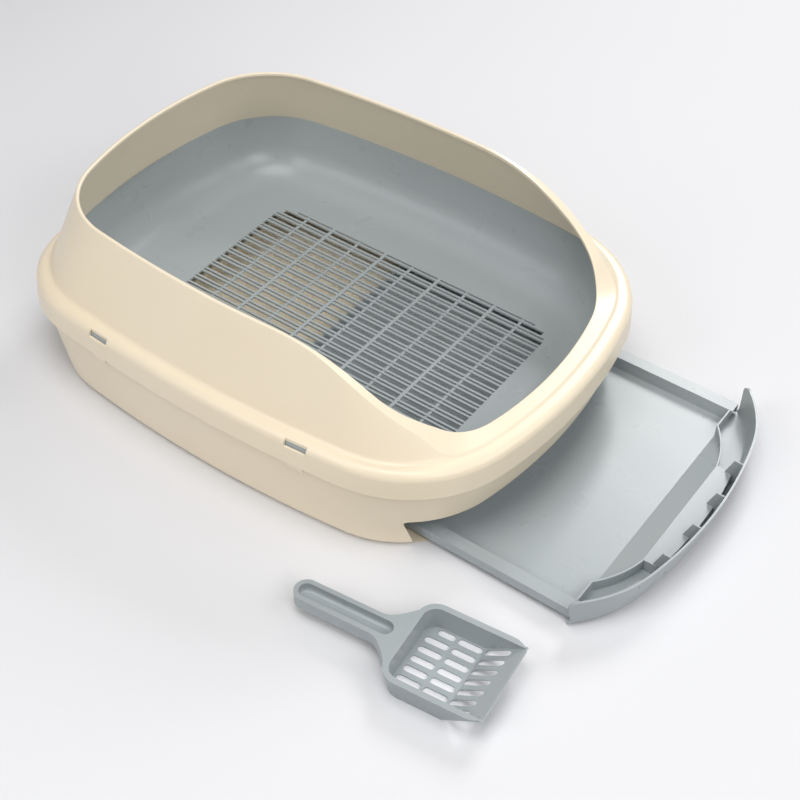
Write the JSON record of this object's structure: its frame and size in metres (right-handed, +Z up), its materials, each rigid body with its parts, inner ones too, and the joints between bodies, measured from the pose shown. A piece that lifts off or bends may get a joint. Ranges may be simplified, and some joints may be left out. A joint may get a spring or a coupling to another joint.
{
  "type": "drawer litter box",
  "caption": "Open cat litter box: a base with a pull-out catch drawer, a slotted sieve pan, a high-walled splash guard with a low entry, and a slotted scoop.",
  "frame": {"origin": "centre of the base's flat resting face, on the floor", "axes": "+X the way the drawer pulls out, +Y across the box, away from the scoop, +Z up"},
  "size_m": [0.7114, 0.5372, 0.1825],
  "materials": {
    "cream_plastic": "satin moulded",
    "grey_plastic": "satin moulded"
  },
  "bodies": {
    "base": {"base_tub": "cream_plastic"},
    "drawer_body": {"drawer": "grey_plastic"},
    "pan": {"litter_pan": "grey_plastic"},
    "guard": {"splash_guard": "cream_plastic"},
    "loose_scoop": {"scoop": "grey_plastic"}
  },
  "joints": [
    {"name": "drawer_slide", "type": "slide", "parent": "base", "child": "drawer_body", "axis": [1, 0, 0], "range_m": [-0.164, 0.285]},
    {"name": "pan_lift", "type": "slide", "parent": "base", "child": "pan", "axis": [0, 0, 1], "range_m": [0, 0.12]},
    {"name": "guard_lift", "type": "slide", "parent": "pan", "child": "guard", "axis": [0, 0, 1], "range_m": [0, 0.12]},
    {"name": "scoop_lift", "type": "slide", "parent": "base", "child": "loose_scoop", "axis": [0, 0, 1], "range_m": [0, 0.1]}
  ]
}
